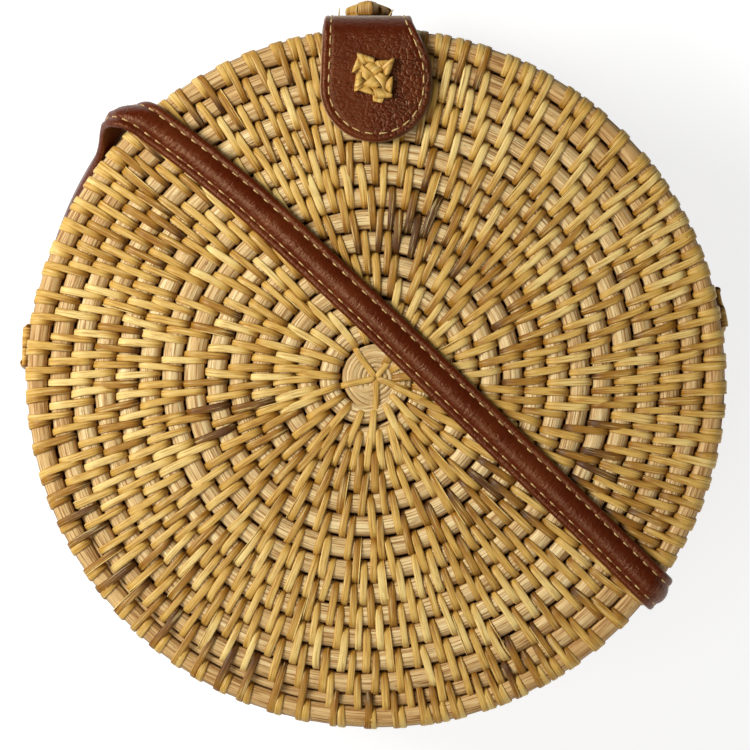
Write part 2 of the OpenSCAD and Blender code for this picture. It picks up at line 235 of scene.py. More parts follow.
def tube(pile, path, radius, sides, seed, tone, closed=False, beside=np.cos):
    """Round core along a path; beside tells which sides face the neighbouring rows, which get
    painted shade.
    """
    path = np.asarray(path, float)
    n = len(path)
    ahead = unit(np.roll(path, -1, 0) - np.roll(path, 1, 0)) if closed else unit(
        np.gradient(path, axis=0))
    up = np.tile((0.0, 0.0, 1.0), (n, 1))
    side = unit(np.cross(ahead, up))
    up = np.cross(side, ahead)
    along = travelled(path)
    a = 2 * math.pi * np.arange(sides) / sides
    r = np.broadcast_to(radius, n)[:, None, None]
    across = (np.sign(np.cos(a)) * abs(np.cos(a)) ** SQUARED)[None, :, None]
    tall = (np.sign(np.sin(a)) * abs(np.sin(a)) ** SQUARED)[None, :, None]
    ring = side[:, None] * across + up[:, None] * tall
    points = path[:, None] + r * ring
    grain = np.stack([np.broadcast_to(along[:, None] + seed * 37.0, (n, sides)),
                      np.broadcast_to(np.cos(a) * CORE_R + seed * 11.0, (n, sides)),
                      np.broadcast_to(np.sin(a) * CORE_R, (n, sides))], -1)
    tones = np.repeat(np.broadcast_to(tone, n), sides)
    # painted shade on the sides of the core that face its neighbouring rows
    crevice = np.tile(abs(beside(a)), n)
    pile.add(points, skin(n, sides, closed), grain, tone=tones, crevice=crevice)


def spiral(t):
    """Middle of the face coil after t degrees, clockwise from its start, as x, y."""
    t = np.asarray(t, float)
    i = np.minimum(np.floor(t / 180), ARCS)
    tail = i >= ARCS
    centre = np.where(tail, -PITCH / 4, np.where(i % 2 == 0, -PITCH / 2, 0.0))
    radius = np.where(tail, RIM_R - PITCH * 3 / 4, FIRST_R + i * PITCH / 2)
    a = -np.radians(t)
    return np.stack([centre + radius * np.cos(a), radius * np.sin(a)], -1)


cane = Material("peeled_cane", Specular_IOR_Level=0.3)
grain = cane.read("grain")
fine = cane.noise(cane.stretch(grain, 0.03, 1.0, 1.0), 2.3, 4.0, 0.65)
bold = cane.noise(cane.stretch(grain, 0.02, 1.0, 1.0), 0.95, 2.0, 0.5)
slow = cane.noise(cane.stretch(grain, 0.03, 0.1, 0.1), 1.0, 2.0, 0.5)
specks = cane.noise(cane.stretch(grain, 0.25, 1.0, 1.0), 1.9, 2.0, 0.5)
lines = fine.span(0.38, 0.52)
body_colour = cane.mix(bold.span(0.35, 0.65), rgb(214, 176, 114), rgb(238, 210, 150))
body_colour = cane.mix(lines, rgb(160, 116, 62), body_colour)
body_colour = cane.mix((fine.span(0.56, 0.68)) * 0.8, body_colour, rgb(250, 232, 184))
body_colour = cane.mix((slow.span(0.55, 0.75)) * 0.45, body_colour, rgb(196, 152, 88))
body_colour = cane.mix((specks.span(0.66, 0.74)) * 0.5, body_colour, rgb(120, 76, 36))
body_colour = cane.mix(cane.read("tone"), body_colour,
                       cane.mix(1.0, body_colour, rgb(214, 180, 130), "MULTIPLY"))
# painted shade where a core meets its neighbouring rows
body_colour = cane.mix(cane.read("crevice").span(0.80, 1.0) * 0.8, body_colour,
                       cane.mix(1.0, body_colour, rgb(140, 96, 50), "MULTIPLY"))
cane_look = cane.finish(body_colour, fine.span(0.3, 0.7, 0.62, 0.42),
                        fine * 0.7 + bold * 0.6, 0.0005, 0.55)


def wobble(n, amount, seed, smooth=24):
    """Slow random wander of n steps, closed on itself."""
    draw = np.random.default_rng(seed)
    turns = np.arange(1, max(2, n // smooth))
    phase = draw.uniform(0, 2 * math.pi, len(turns))
    size = draw.normal(0, 1, len(turns))
    x = np.linspace(0, 2 * math.pi, n, endpoint=False)[:, None]
    wave = (np.sin(x * turns + phase) * size).sum(1) / math.sqrt(max(1, len(turns)))
    return amount * np.clip(wave, -2, 2)


for shell, mirror in SHELLS:
    seed = 5 if mirror else 1
    coil, t, at = Pile(), [], 0.0
    cut, thin = zip(*COIL_END)
    while at < ARCS * 180 + cut[-1]:
        t.append(at)
        at += math.degrees(COIL_STEP / (FIRST_R + at / 180 * PITCH / 2))
    t = np.array(t)
    xy = spiral(t)
    past = t - ARCS * 180
    radius = CORE_R + wobble(len(t), 0.035, seed)
    radius = np.where(past > cut[0], np.interp(past, cut, thin), radius)
    lift = wobble(len(t), 0.10, seed + 1) + np.where(past > cut[0], 0.2, 0)
    path = np.column_stack([xy, Z_FRONT + lift - np.interp(t, [0, 400], [0.5, 0])])
    edge = np.interp(t, [4300, 4860], [0.0, 0.35])
    tube(coil, path, radius, COIL_SIDES, seed, edge)
    coil.make(shell + "_coil_core", cane_look, shell + "_shell", mirror, [shell + "_disc_coil"])

    wall = Pile()
    start = CLIMB_BACK if mirror else CLIMB_FRONT
    for k in range(WALL_ROWS + 1):
        a = np.radians(np.arange(start, start + 360 + CLIMB + 0.1, RING_STEP))
        z = Z_FRONT - k * PITCH - np.interp(np.degrees(a) - start, [360, 360 + CLIMB], [0, PITCH])
        wedge = 1.0
        if k == WALL_ROWS:
            # the core's end is cut to a long wedge that fills the corner beside the climb
            a = a[:-1]
            wedge = np.interp(np.degrees(a) - start, [359, 359 + CLIMB], [1.0, 0.1])
            z = Z_FRONT - k * PITCH - CORE_R * (1 - wedge)
        r = RIM_R + wobble(len(a), 0.06, seed + 10 + k)
        path = np.column_stack([r * np.cos(a), r * np.sin(a), z + wobble(len(a), 0.06, seed + k)])
        if k:
            keep = np.degrees(a) - start >= CLIMB
            path, a = path[keep], a[keep]
            wedge = np.broadcast_to(wedge, len(keep))[keep]
        thin = (CORE_R + wobble(len(a), 0.03, seed + 20 + k)) * wedge
        # which sides of each row get painted shade
        near = np.sin if k else np.cos
        tube(wall, path, thin, RING_SIDES, seed + k, 0.4 if k else 0.5, beside=near)
    wall.make(shell + "_wall_core", cane_look, shell + "_shell", mirror, [shell + "_wall_coil"])

    hoop = Pile()
    a = np.radians(np.arange(0, 360, RING_STEP))
    path = np.column_stack([RIM_R * np.cos(a), RIM_R * np.sin(a),
                            np.full(len(a), Z_MOUTH + HOOP_OFF)])
    tube(hoop, path, HOOP_R + wobble(len(a), 0.03, seed + 30), RING_SIDES, seed + 9, 0.4, True,
         beside=np.sin)
    hoop.make(shell + "_hoop_core", cane_look, shell + "_shell", mirror, [shell + "_mouth_hoop"])

# Split cane binding
# Glossy strips split from the cane's skin, about 2 mm wide. Each goes over two rows and down
# between the next ones; the outermost row also shows the first strips of the wall.
STRIP_W, STRIP_T = 2.3, 0.6
# The strips lie closer together near the centre, up to CLOSE_END degrees along the coil
FIRST_STRIP, CLOSE_END, CLOSE_GAP, WIDE_GAP = 300.0, 900, 4.9, 6.5
# The coil is rim row from this many degrees past its last arc
TAIL_DEG = 100
# How far apart the ends of a strip are along the radius, and how far the next lies beside it
REACH, BESIDE = 9.5, 2.2
# No strip lies on the last row where the lashings are
LASH_FROM, LASH_TO = 4.2, 17.4
# Section of a strip: across it in widths, out of it in thicknesses
STRIP = np.array([(-0.5, 0.1), (-0.485, 0.6), (-0.38, 0.9), (-0.1, 1.0), (0.2, 0.96),
                  (0.4, 0.86), (0.485, 0.5), (0.5, 0.1), (0, 0.0)])

split = Material("split_cane", Specular_IOR_Level=0.32)
grain = split.read("grain")
tone = split.read("tone")
across = split.read("across")
streak = split.noise(split.stretch(grain, 0.05, 1.0, 1.0), 2.2, 4.0, 0.65)
cloud = split.noise(split.stretch(grain, 0.2, 0.3, 1.0), 0.9, 2.0)
gold = split.mix(tone.span(0.0, 0.35), rgb(238, 208, 130), rgb(212, 168, 80))
gold = split.mix(tone.span(0.35, 0.7), gold, rgb(162, 112, 30))
gold = split.mix(tone.span(0.7, 1.0), gold, rgb(92, 54, 10))
dark = split.mix(1.0, gold, rgb(190, 152, 84), "MULTIPLY")
gold = split.mix(streak.span(0.5, 0.64) * 0.7, gold, dark)
gold = split.mix(streak.span(0.46, 0.34) * 0.45, gold, rgb(248, 226, 156))
gold = split.mix(cloud.span(0.55, 0.8) * 0.4, gold, dark)
# painted shade along both edges of each strip, where its section rounds down
gold = split.mix(across.abs().span(0.4, 0.52) * 0.7, gold, dark)
split_look = split.finish(gold, streak.span(0.3, 0.7, 0.42, 0.58), streak, 0.0003, 0.5)


def strip(pile, path, normals, width, thick, tone, seed, side=None, profile=STRIP):
    """Flat strip of split cane along a path; side gives its cross direction where it folds."""
    path, normals = np.asarray(path, float), np.asarray(normals, float)
    n, m = len(path), len(profile)
    if side is None:
        ahead = unit(np.gradient(path, axis=0))
        side = unit(np.cross(ahead, normals))
        up = np.cross(side, ahead)
    else:
        up = unit(normals)
    width = np.broadcast_to(width, n)[:, None]
    thick = np.broadcast_to(thick, n)[:, None]
    x, h = profile[None, :, 0] * width, profile[None, :, 1] * thick
    points = path[:, None] + side[:, None] * x[..., None] + up[:, None] * h[..., None]
    grain = np.stack([np.broadcast_to(travelled(path)[:, None] + seed * 13.7, (n, m)),
                      x + seed * 3.1, np.full((n, m), seed * 1.7)], -1)
    tone = np.repeat(np.broadcast_to(tone, n), m)
    # across also marks the strip's edges for their painted shade
    pile.add(points, skin(n, m), grain, tone=tone, across=np.tile(profile[:, 0], n))


def over_rows(c0, c1, start, top, end, base=CORE_R, far=CORE_R):
    """Points and outward angles of a strip over two rows, in the radius and height plane."""
    first = np.radians(np.linspace(start, top, 5 if abs(start - top) < 130 else 8))
    last = np.radians(np.linspace(top, end, 6 if abs(end - top) < 140 else 9))
    out = [(c0[0] + base * math.cos(a), c0[1] + base * math.sin(a), a) for a in first]
    for f in (0.3, 0.7):
        mid = (c0[0] + (c1[0] - c0[0]) * f, c0[1] + (c1[1] - c0[1]) * f)
        sag = base + (far - base) * f - 0.12
        a = math.radians(top)
        out.append((mid[0] + sag * math.cos(a), mid[1] + sag * math.sin(a), a))
    out += [(c1[0] + far * math.cos(a), c1[1] + far * math.sin(a), a) for a in last]
    return np.array(out)


def lay(pile, plane, angle, shift, width, tone, seed, thick=STRIP_T, bow=0.0):
    """Turn a strip's plane to its place round the bag, its outer end shifted along."""
    n = len(plane)
    f = np.linspace(0, 1, n)
    phi = angle + shift * (f * f * (3 - 2 * f) - 0.5) + bow * np.sin(f * math.pi)
    r, z, a = plane.T
    path = np.column_stack([r * np.cos(phi), r * np.sin(phi), z])
    normals = np.column_stack([np.cos(a) * np.cos(phi), np.cos(a) * np.sin(phi), np.sin(a)])
    w = width * np.interp(f, [0, 0.3, 0.85, 1], [0.7, 0.95, 1, 0.75])
    h = thick * np.interp(f, [0, 0.15, 0.9, 1], [0.75, 1, 1, 0.8])
    # painted shade: a strip's tone darkens towards both ends, where it dips down between the rows
    tuck = 0.5 * np.exp(-(f / 0.3) ** 2) + 0.28 * np.exp(-((1 - f) / 0.12) ** 2)
    strip(pile, path, normals, w, h, np.minimum(1.0, tone + tuck), seed)


def patch(x, y):
    """Extra darkness of the strips near some places of the face."""
    spots = ((-45, -9, 12, 9), (2, -36, 24, 8), (27, -29, 8, 8), (10, 45, 14, 10),
             (60, -30, 12, 16), (-60, 40, 10, 14))
    return sum(math.exp(-((x - a) / c) ** 2 - ((y - b) / d) ** 2) for a, b, c, d in spots)


def slant(phi):
    """How far a strip leans from the radius, in degrees."""
    return 3.5 + 6 * max(0.0, math.cos(phi - math.radians(10))) ** 6


def row_at(t):
    """Radius of the row after t degrees, or of the rim row when the coil has ended."""
    if t > ARCS * 180 + TAIL_DEG:
        return RIM_R
    return float(np.hypot(*spiral(t)))


for shell, mirror in SHELLS:
    rnd = random.Random(21 + mirror)
    face, wall = Pile(), Pile()
    marks, at, back, shade = [], FIRST_STRIP, 0, 0.3
    end = ARCS * 180 + TAIL_DEG
    first_outer = end - 360
    while at < end:
        r0, r1 = row_at(at), row_at(at + 360)
        mid = (r0 + r1) / 2
        step = math.degrees((CLOSE_GAP if at < CLOSE_END else WIDE_GAP) / mid)
        marks.append(at)
        phi = -math.radians(at) + rnd.uniform(-0.25, 0.25) / mid
        shade += rnd.uniform(-0.16, 0.16)
        shade = min(0.45, max(0.02, shade))
        x, y = mid * math.cos(phi), mid * math.sin(phi)
        tone = min(1.0, shade + 0.36 * patch(x, y) + rnd.choice((0, 0, 0.05, 0.14, 0.24)))
        outer = at > first_outer
        if outer and y < -30:
            tone = min(0.8, tone + 0.22)
        plane = over_rows((r0, Z_FRONT), (r1, Z_FRONT), 200, 90, -66 if outer else -24)
        lean = math.radians(slant(phi) + rnd.gauss(0, 3.5))
        shift = math.tan(lean) * REACH / mid
        beside = math.degrees((BESIDE + PITCH * math.tan(math.radians(slant(phi)))) / mid)
        lay(face, plane, phi, shift, STRIP_W * rnd.uniform(0.86, 1.08), tone, len(marks),
            bow=rnd.gauss(0, 0.22) / mid)
        if rnd.random() < 0.09:
            # a pale sliver has split off along one side
            edge = rnd.choice((-1, 1)) * STRIP_W * 0.42 / mid
            lay(face, plane, phi + edge, shift, 0.34, 0.0, len(marks) + 7, thick=0.78)
        # the next strip lies beside the one a turn earlier, or midway in a wide gap
        while back < len(marks) and marks[back] + 360 - beside < at + 0.3 * step:
            back += 1
        gap = marks[back] + 360 - beside - at if back < len(marks) else step
        if gap > 2.8 * step:
            gap = step
        elif gap > 1.38 * step:
            gap = gap / 2
        at += gap + math.degrees(rnd.uniform(-0.2, 0.2) / mid)
    face.make(shell + "_face_binding", split_look, shell + "_shell", mirror)

    ring = [m for m in marks if m > first_outer]
    for k in range(WALL_ROWS + 1):
        z0 = Z_FRONT - k * PITCH
        z1 = z0 - PITCH
        for j, m in enumerate(ring):
            phi = -math.radians(m) + (2.15 + 2.0 * k) / RIM_R + rnd.uniform(-0.2, 0.2) / RIM_R
            x, y = RIM_R * math.cos(phi), RIM_R * math.sin(phi)
            if k == WALL_ROWS and y < 0 and LASH_FROM < abs(x) < LASH_TO:
                continue
            shade += rnd.uniform(-0.15, 0.15)
            shade = min(0.55, max(0.02, shade))
            last = k == WALL_ROWS
            plane = over_rows((RIM_R, z0), (RIM_R, z1), 188 if k == 0 else 108, 0,
                              -185 if last else -108, far=HOOP_R if last else CORE_R)
            lay(wall, plane, phi, rnd.gauss(1.1, 0.3) / RIM_R,
                STRIP_W * rnd.uniform(0.95, 1.12), shade, j + 100 * k,
                thick=STRIP_T * (0.85 if last else 1))
    wall.make(shell + "_wall_binding", split_look, shell + "_shell", mirror)

# Centre of each face
# The coil starts in a whorl of split core strands, held by a star of five wide strips of
# split cane that meet in the middle.
WHORL_STEP, WHORL_TURNS, STRAND_R = 1.33, 7.2, 0.74
# Each strip's direction in degrees, and how far it reaches
STAR = ((55, 8.6), (125, 10.6), (192.7, 10.4), (268.2, 10.7), (341.3, 10.3))
STAR_W, STAR_T = 1.75, 0.5
for shell, mirror in SHELLS:
    whorl = Pile()
    t = np.arange(200, 360 * WHORL_TURNS, 12.0)
    r = 0.25 + WHORL_STEP * t / 360
    a = -np.radians(t + 40)
    z = Z_FRONT + 1.75 - 0.12 * (r / 9) ** 2 + wobble(len(t), 0.12, 3 + mirror, 6)
    path = np.column_stack([r * np.cos(a), r * np.sin(a), z])
    tube(whorl, path, STRAND_R, 8, 3 + mirror, 0.0)
    whorl.make(shell + "_whorl", cane_look, shell + "_shell", mirror)
    star = Pile()
    for j, (deg, far) in enumerate(STAR):
        f = np.linspace(0, 1, 14)
        r = 0.3 + (far - 0.3) * f
        a = np.radians(deg + 6 * f * (1 - f) * (1 if j % 2 else -1))
        tuck = np.interp(f, [0, 0.1, 0.86, 1], [0.5, 0, 0, 1.5])
        z = Z_FRONT + 2.5 + 0.1 * np.sin(f * 9 + j) - tuck
        path = np.column_stack([r * np.cos(a), r * np.sin(a), z])
        up = np.tile((0, 0, 1.0), (len(f), 1))
        strip(star, path, up, STAR_W, STAR_T, 0.28 + 0.05 * j, 900 + j)
    star.make(shell + "_star", split_look, shell + "_shell", mirror, [shell + "_centre_star"])

# Foot lashings
# Two hinges at the foot, each a strand of split cane wound four times round both mouth hoops.
WINDINGS, WIND_STEP, LASH_X, LASH_W, LASH_T = 4, 2.4, 10.8, 1.9, 0.5
WIND_R = HOOP_R + 0.06
for side, name in ((-1, "lashing_left"), (1, "lashing_right")):
    lash = Pile()
    a = np.radians(np.arange(0, 360 * WINDINGS + 1, 7.5)) + math.pi
    x = WIND_STEP * ((a - a[0]) / (2 * math.pi) - WINDINGS / 2) + side * LASH_X
    up = HOOP_OFF * np.clip(np.sin(a) / 0.3, -1, 1) + WIND_R * np.sin(a)
    path = np.column_stack([x, -RIM_R + WIND_R * np.cos(a), Z_MOUTH + up])
    normals = np.column_stack([0 * a, np.cos(a), np.sin(a)])
    strip(lash, path, normals, LASH_W, LASH_T, 0.3, 950 + side)
    strand = lash.make(name + "_strand", split_look, None, False, [name])
    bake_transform(strand)

# Linings
# One pan of plain dark brown cotton in each shell, gathered a little up the wall and sewn
# to the rows below the mouth hoop.
cotton = Material("brown_cotton", Specular_IOR_Level=0.2)
grain = cotton.read("grain")
threads = cotton.noise(grain, 3.2, 2.0)
soft = cotton.noise(cotton.stretch(grain, 0.05, 0.05, 0.05), 1.0, 2.0)
cloth = cotton.mix(threads.span(0.35, 0.65), rgb(72, 46, 30), rgb(104, 70, 48))
cloth = cotton.mix(soft.span(0.3, 0.7) * 0.3, cloth, rgb(86, 56, 38))
cotton_look = cotton.finish(cloth, 0.9, threads, 0.0003, 0.5)

PAN_POINTS, PAN_R, PAN_ROUND, CLOTH_T = 240, 86.9, 5.95, 0.5
# The cloth's top edge stands above the mouth, higher where it clears the foot lashings
HEM, LASH_HEM, LASH_REACH, HEM_R, UNDER_FACE = 1.25, 8.8, 19, 93, 3.75
FLAT_RINGS = (0.4, 10, 22, 36, 50, 63, 75, 83, PAN_R)
for shell, mirror in SHELLS:
    phi = np.linspace(0, 2 * math.pi, PAN_POINTS, endpoint=False)
    top = np.full(PAN_POINTS, Z_MOUTH + HEM)
    x, y = HEM_R * np.cos(phi), HEM_R * np.sin(phi)
    top[(y < 0) & (abs(x) < LASH_REACH)] = Z_MOUTH + LASH_HEM
    floor_z = Z_FRONT - UNDER_FACE
    inner, outer = [], []
    for lift, rows in ((0.0, outer), (CLOTH_T, inner)):
        for r in FLAT_RINGS:
            dip = 0.25 * np.sin(phi * 5 + r / 9) * np.sin(r / 14) - 0.15
            rows.append(np.column_stack([r * np.cos(phi), r * np.sin(phi),
                                         floor_z - lift + np.minimum(dip, 0)]))
        for b in np.radians((15, 35, 55, 75, 90)):
            r = PAN_R + (PAN_ROUND - lift) * math.sin(b)
            z = np.full(PAN_POINTS, floor_z - PAN_ROUND + (PAN_ROUND - lift) * math.cos(b))
            rows.append(np.column_stack([r * np.cos(phi), r * np.sin(phi), z]))
        for f in (0.25, 0.5, 0.75, 0.93, 1.0):
            ruck = 0.22 * np.sin(phi * 48 + 2 * np.sin(phi * 7)) * f
            r = PAN_R + PAN_ROUND - 0.35 - lift + ruck
            z = floor_z - PAN_ROUND + (top - floor_z + PAN_ROUND) * f
            rows.append(np.column_stack([r * np.cos(phi), r * np.sin(phi), z]))
    points = np.array(outer + inner[::-1])
    pan = Pile()
    pan.add(points, skin(len(points), PAN_POINTS), points)
    obj = pan.make(shell + "_lining_cloth", cotton_look, shell + "_shell", mirror,
                   [shell + "_lining"])

# Strap
# One strip of dark red-brown pebbled leather, padded between two rows of cotton thread. It goes
# from the left knot up the wall, over the face, down the other side and in folds under the
# bag to the right knot.
leather = Material("brown_leather", Specular_IOR_Level=0.6, Specular_Tint=(1.0, 0.62, 0.34, 1))
grain = leather.read("grain")
bent = leather.noise(grain, 0.35, 2.0)
moved = Value(leather, leather.node("ShaderNodeVectorMath", {"operation": "MULTIPLY_ADD"}, {
    0: grain, 1: (1, 1, 1), 2: bent}).outputs[0])
groove = leather.cells(moved, 0.62)
pebble = groove.span(0.0, 0.24)
crease = leather.noise(leather.stretch(moved, 1.7, 0.5, 1.0), 0.9, 4.0, 0.6)
worn = leather.noise(grain, 0.07, 2.0)
rub = leather.read("rub")
# painted shade in the grooves between pebbles, stronger where the mask is high
hide = leather.mix(pebble * rub + (1 - rub), rgb(54, 12, 0), rgb(84, 24, 2))
hide = leather.mix(worn.span(0.42, 0.66) * 0.5, hide, rgb(100, 42, 12))
# painted highlight: pale pinkish flecks on the crease tops where the mask is high
hide = leather.mix(crease.span(0.54, 0.70) * rub * 0.4, hide, rgb(124, 62, 34))
# painted shade in the low parts of the creases
hide = leather.mix(crease.span(0.44, 0.32) * 0.5, hide, rgb(52, 12, 0))
hide = leather.mix(leather.read("worn"), hide, rgb(146, 118, 80))
height = pebble * rub * 0.55 + crease * (rub * 0.2 + 0.9)
leather_look = leather.finish(hide, crease.span(0.3, 0.75, 0.27, 0.37), height, 0.0006, 0.6)

thread = Material("cotton_thread", Specular_IOR_Level=0.4)
grain = thread.read("grain")
ply = thread.noise(grain, 1.7, 2.0)
thread_look = thread.finish(thread.mix(ply.span(0.3, 0.7), rgb(170, 130, 70), rgb(226, 196, 130)),
                            0.5, ply, 0.0002, 0.5)


def dash(pile, a, b, up, radius, seed):
    """One visible thread stitch from a to b, sunk at both ends."""
    a, b, up = (np.asarray(p, float) for p in (a, b, up))
    f = np.array([0, 0.12, 0.5, 0.88, 1])
    lift = np.array([-0.25, 0.05, 0.14, 0.05, -0.25])
    path = a + (b - a) * f[:, None] + up * lift[:, None]
    ahead = unit((b - a)[None])[0]
    side = unit(np.cross(ahead, up)[None])[0]
    up = np.cross(side, ahead)
    ang = np.arange(6) * math.pi / 3
    r = radius * np.array([0.6, 1.15, 1.05, 0.75, 0.4])
    ring = side * np.cos(ang)[:, None] + up * np.sin(ang)[:, None]
    points = path[:, None] + r[:, None, None] * ring
    pile.add(points, skin(5, 6), points.reshape(-1, 3) + seed)


chance = random.Random(11)


def stitch(pile, line, above, seed, ends, length, middle, gap, vary, radius):
    """A row of stitches along a line; above is the same line further out of the leather."""
    dist = travelled(line)

    def on(points, d):
        return np.array([np.interp(d, dist, points[:, k]) for k in range(3)])

    d = ends[0]
    while d < dist[-1] - ends[1]:
        up = unit((on(above, d + middle) - on(line, d + middle))[None])[0]
        dash(pile, on(line, d), on(line, d + length), up, radius, seed)
        d += gap + chance.uniform(-vary, vary)
        seed += 1


ANGLE, OFF, KNOT_Z = math.radians(-43.4), 11.0, 25.9
# The strap's underside lies this far out from the middle of a row, and never under the table
BEND_IN, Z_BACK, TABLE_GAP = 3.9, 6.7, 0.05
# Directions along and across the strap's straight lie
S = np.array((math.cos(ANGLE), math.sin(ANGLE)))
T = np.array((-math.sin(ANGLE), math.cos(ANGLE)))
FOLD, EXIT_R = 1.27 * 11, 30.0
# Where the folds turn along the strap's lie, and how far its four runs lie across it
TURN_A, TURN_B, TURN_C = -0.51 * RIM_R, 0.466 * RIM_R, -0.33 * RIM_R
RUN_TWO, RUN_THREE, RUN_FOUR = OFF - 2 * FOLD, OFF - 4 * FOLD, 0.466 * RIM_R
WIDE_R = (RUN_FOUR - RUN_THREE) / 2
# The last run bends outward to the right knot: its direction, and where the bend starts and ends
EXIT = math.radians(11.5) - ANGLE
EXIT_AT = RUN_FOUR / math.tan(EXIT) - EXIT_R * math.tan(EXIT / 2)
EXIT_OUT = math.hypot(RUN_FOUR / math.tan(EXIT), RUN_FOUR) + EXIT_R * math.tan(EXIT / 2)
# The left end leans back along the wall, from where it comes over the rim to the knot
CORNER_R, LOW_R, LEAN, LEFT_END, RIGHT_END = 12.0, 24.0, math.radians(42), 71.3, 8.0
# There it stands off the cane in a hump: its height, its distance from the rim and its width
STAND, PEAK, HUMP, MID_T = 4.4, 9.0, 6.5, 1.4
# The run over the face bows a little to one side: distance along it, and the bow there
RUN_HALF = 96.0
BOW_AT = (-96, -79, -62, -45, -10, 12, 41, 69, 97)
BOW = (-2.2, -0.3, 0.9, 1.2, 1.3, 1.1, 0.9, 0.6, 0.0)


def flat(s, t, z):
    """From distances along and across the strap's straight lie to x, y, z."""
    s, t = np.broadcast_arrays(s, t)
    xy = s[..., None] * S + t[..., None] * T
    return np.concatenate([xy, np.broadcast_to(z, s.shape)[..., None]], -1)


def strap_rows(v, w):
    """Rows of points along the whole strap; v is across it and w is out from the bag."""
    rows = []
    t = OFF + v
    lie = np.minimum(1.0, 0.78 - 0.11 * v)

    # the left side: down is the way over the edge and down the wall, h the way along it
    bend = math.pi / 2 * (BEND_IN + MID_T)

    def over_edge(down, h, stand):
        out = BEND_IN + w + stand
        b = np.clip(math.pi / 2 * (1 - down / bend), 0, math.pi / 2)
        r = RIM_R + out * np.cos(b)
        z = Z_FRONT + out * np.sin(b) - np.maximum(0, down - bend)
        return flat(-np.sqrt(r ** 2 - h ** 2) - np.minimum(0, down), -h, z)

    h, down = -(OFF + BOW[0]), -1.0
    way = [(down, h, 0.0)]
    for a in np.linspace(0, LEAN, 14)[1:]:
        way.append((down + CORNER_R * math.sin(a), h + CORNER_R * (1 - math.cos(a)), a))
    low = bend + Z_FRONT - KNOT_Z
    start = way[-1]
    gain = low - LOW_R * (1 - math.sin(LEAN)) - start[0]
    for f in np.linspace(0, 1, 26)[1:]:
        way.append((start[0] + gain * f, start[1] + gain * math.tan(LEAN) * f, LEAN))
    start = way[-1]
    for a in np.linspace(LEAN, math.pi / 2, 14)[1:]:
        way.append((start[0] + LOW_R * (math.sin(a) - math.sin(LEAN)),
                    start[1] + LOW_R * (math.cos(LEAN) - math.cos(a)), a))
    for far in np.linspace(way[-1][1], LEFT_END, 7)[1:]:
        way.append((low, far, math.pi / 2))
    for down, h, a in way[::-1]:
        stand = STAND * math.exp(-((down - PEAK) / HUMP) ** 2)
        rows.append(over_edge(down + v * math.sin(a), h - v * math.cos(a), stand * lie))
    for f in np.linspace(-1, 1, 72)[2:]:
        at = f * RUN_HALF
        stand = STAND * math.exp(-((-RUN_HALF - at - PEAK) / HUMP) ** 2) if f < 0 else 0.0
        aside = t + np.interp(at, BOW_AT, BOW)
        reach = np.sqrt(RIM_R ** 2 - aside ** 2) * f
        rows.append(flat(reach, aside, Z_FRONT + BEND_IN + w + stand * lie))
    for deg in np.linspace(90, 0, 9)[1:]:
        b = math.radians(deg)
        r = RIM_R + (BEND_IN + w) * math.cos(b)
        rows.append(flat(np.sqrt(r ** 2 - t ** 2), t, Z_FRONT + (BEND_IN + w) * math.sin(b)))
    for z in np.linspace(Z_FRONT, Z_BACK, 27)[1:-1]:
        rows.append(flat(np.sqrt((RIM_R + BEND_IN + w) ** 2 - t ** 2), t, z + 0 * v))
    for deg in np.linspace(0, 90, 9)[:-1]:
        b = math.radians(deg)
        r = RIM_R + (BEND_IN + w) * math.cos(b)
        low = np.maximum(TABLE_GAP, Z_BACK - (BEND_IN + w) * math.sin(b))
        rows.append(flat(np.sqrt(r ** 2 - t ** 2), t, low))
    # the domed side is pressed flat on the table
    low = np.maximum(TABLE_GAP, Z_BACK - BEND_IN - w)
    full = np.sqrt(RIM_R ** 2 - t ** 2)
    for f in np.linspace(0, 1, 44)[:-1]:
        rows.append(flat(full + (TURN_A - full) * f, t, low))

    def turn(cs, ct, rho, start, stop, count):
        for deg in np.linspace(start, stop, count)[:-1]:
            a = math.radians(deg)
            rows.append(flat(cs + rho * math.cos(a), ct + rho * math.sin(a), low))

    def run(start, stop, t, count):
        for s in np.linspace(start, stop, count)[:-1]:
            rows.append(flat(s + 0 * v, t, low))

    turn(TURN_A, OFF - FOLD, FOLD + v, 90, 270, 22)
    run(TURN_A, TURN_B, RUN_TWO - v, 30)
    turn(TURN_B, RUN_TWO - FOLD, FOLD - v, 90, -90, 22)
    run(TURN_B, TURN_C, RUN_THREE + v, 24)
    turn(TURN_C, RUN_THREE + WIDE_R, WIDE_R - v, 270, 90, 48)
    run(TURN_C, EXIT_AT, RUN_FOUR - v, 16)
    turn(EXIT_AT, RUN_FOUR + EXIT_R, EXIT_R + v, -90, -90 + math.degrees(EXIT), 12)
    ahead = np.array((math.cos(EXIT), math.sin(EXIT)))
    aside = np.array((math.sin(EXIT), -math.cos(EXIT)))

    def exit_row(d, z):
        rows.append(flat(d * ahead[0] + v * aside[0], d * ahead[1] + v * aside[1], z))

    for f in np.linspace(0, 1, 9)[:-1]:
        exit_row(EXIT_OUT + (np.sqrt(RIM_R ** 2 - v ** 2) - EXIT_OUT) * f, low)
    for deg in np.linspace(90, 0, 9)[:-1]:
        b = math.radians(deg)
        exit_row(np.sqrt((RIM_R + (BEND_IN + w) * math.cos(b)) ** 2 - v ** 2),
                 np.maximum(TABLE_GAP, Z_BACK - (BEND_IN + w) * math.sin(b)))
    for z in np.linspace(Z_BACK, KNOT_Z + RIGHT_END, 12):
        exit_row(np.sqrt((RIM_R + BEND_IN + w) ** 2 - v ** 2), z + 0 * v)
    return np.array(rows)


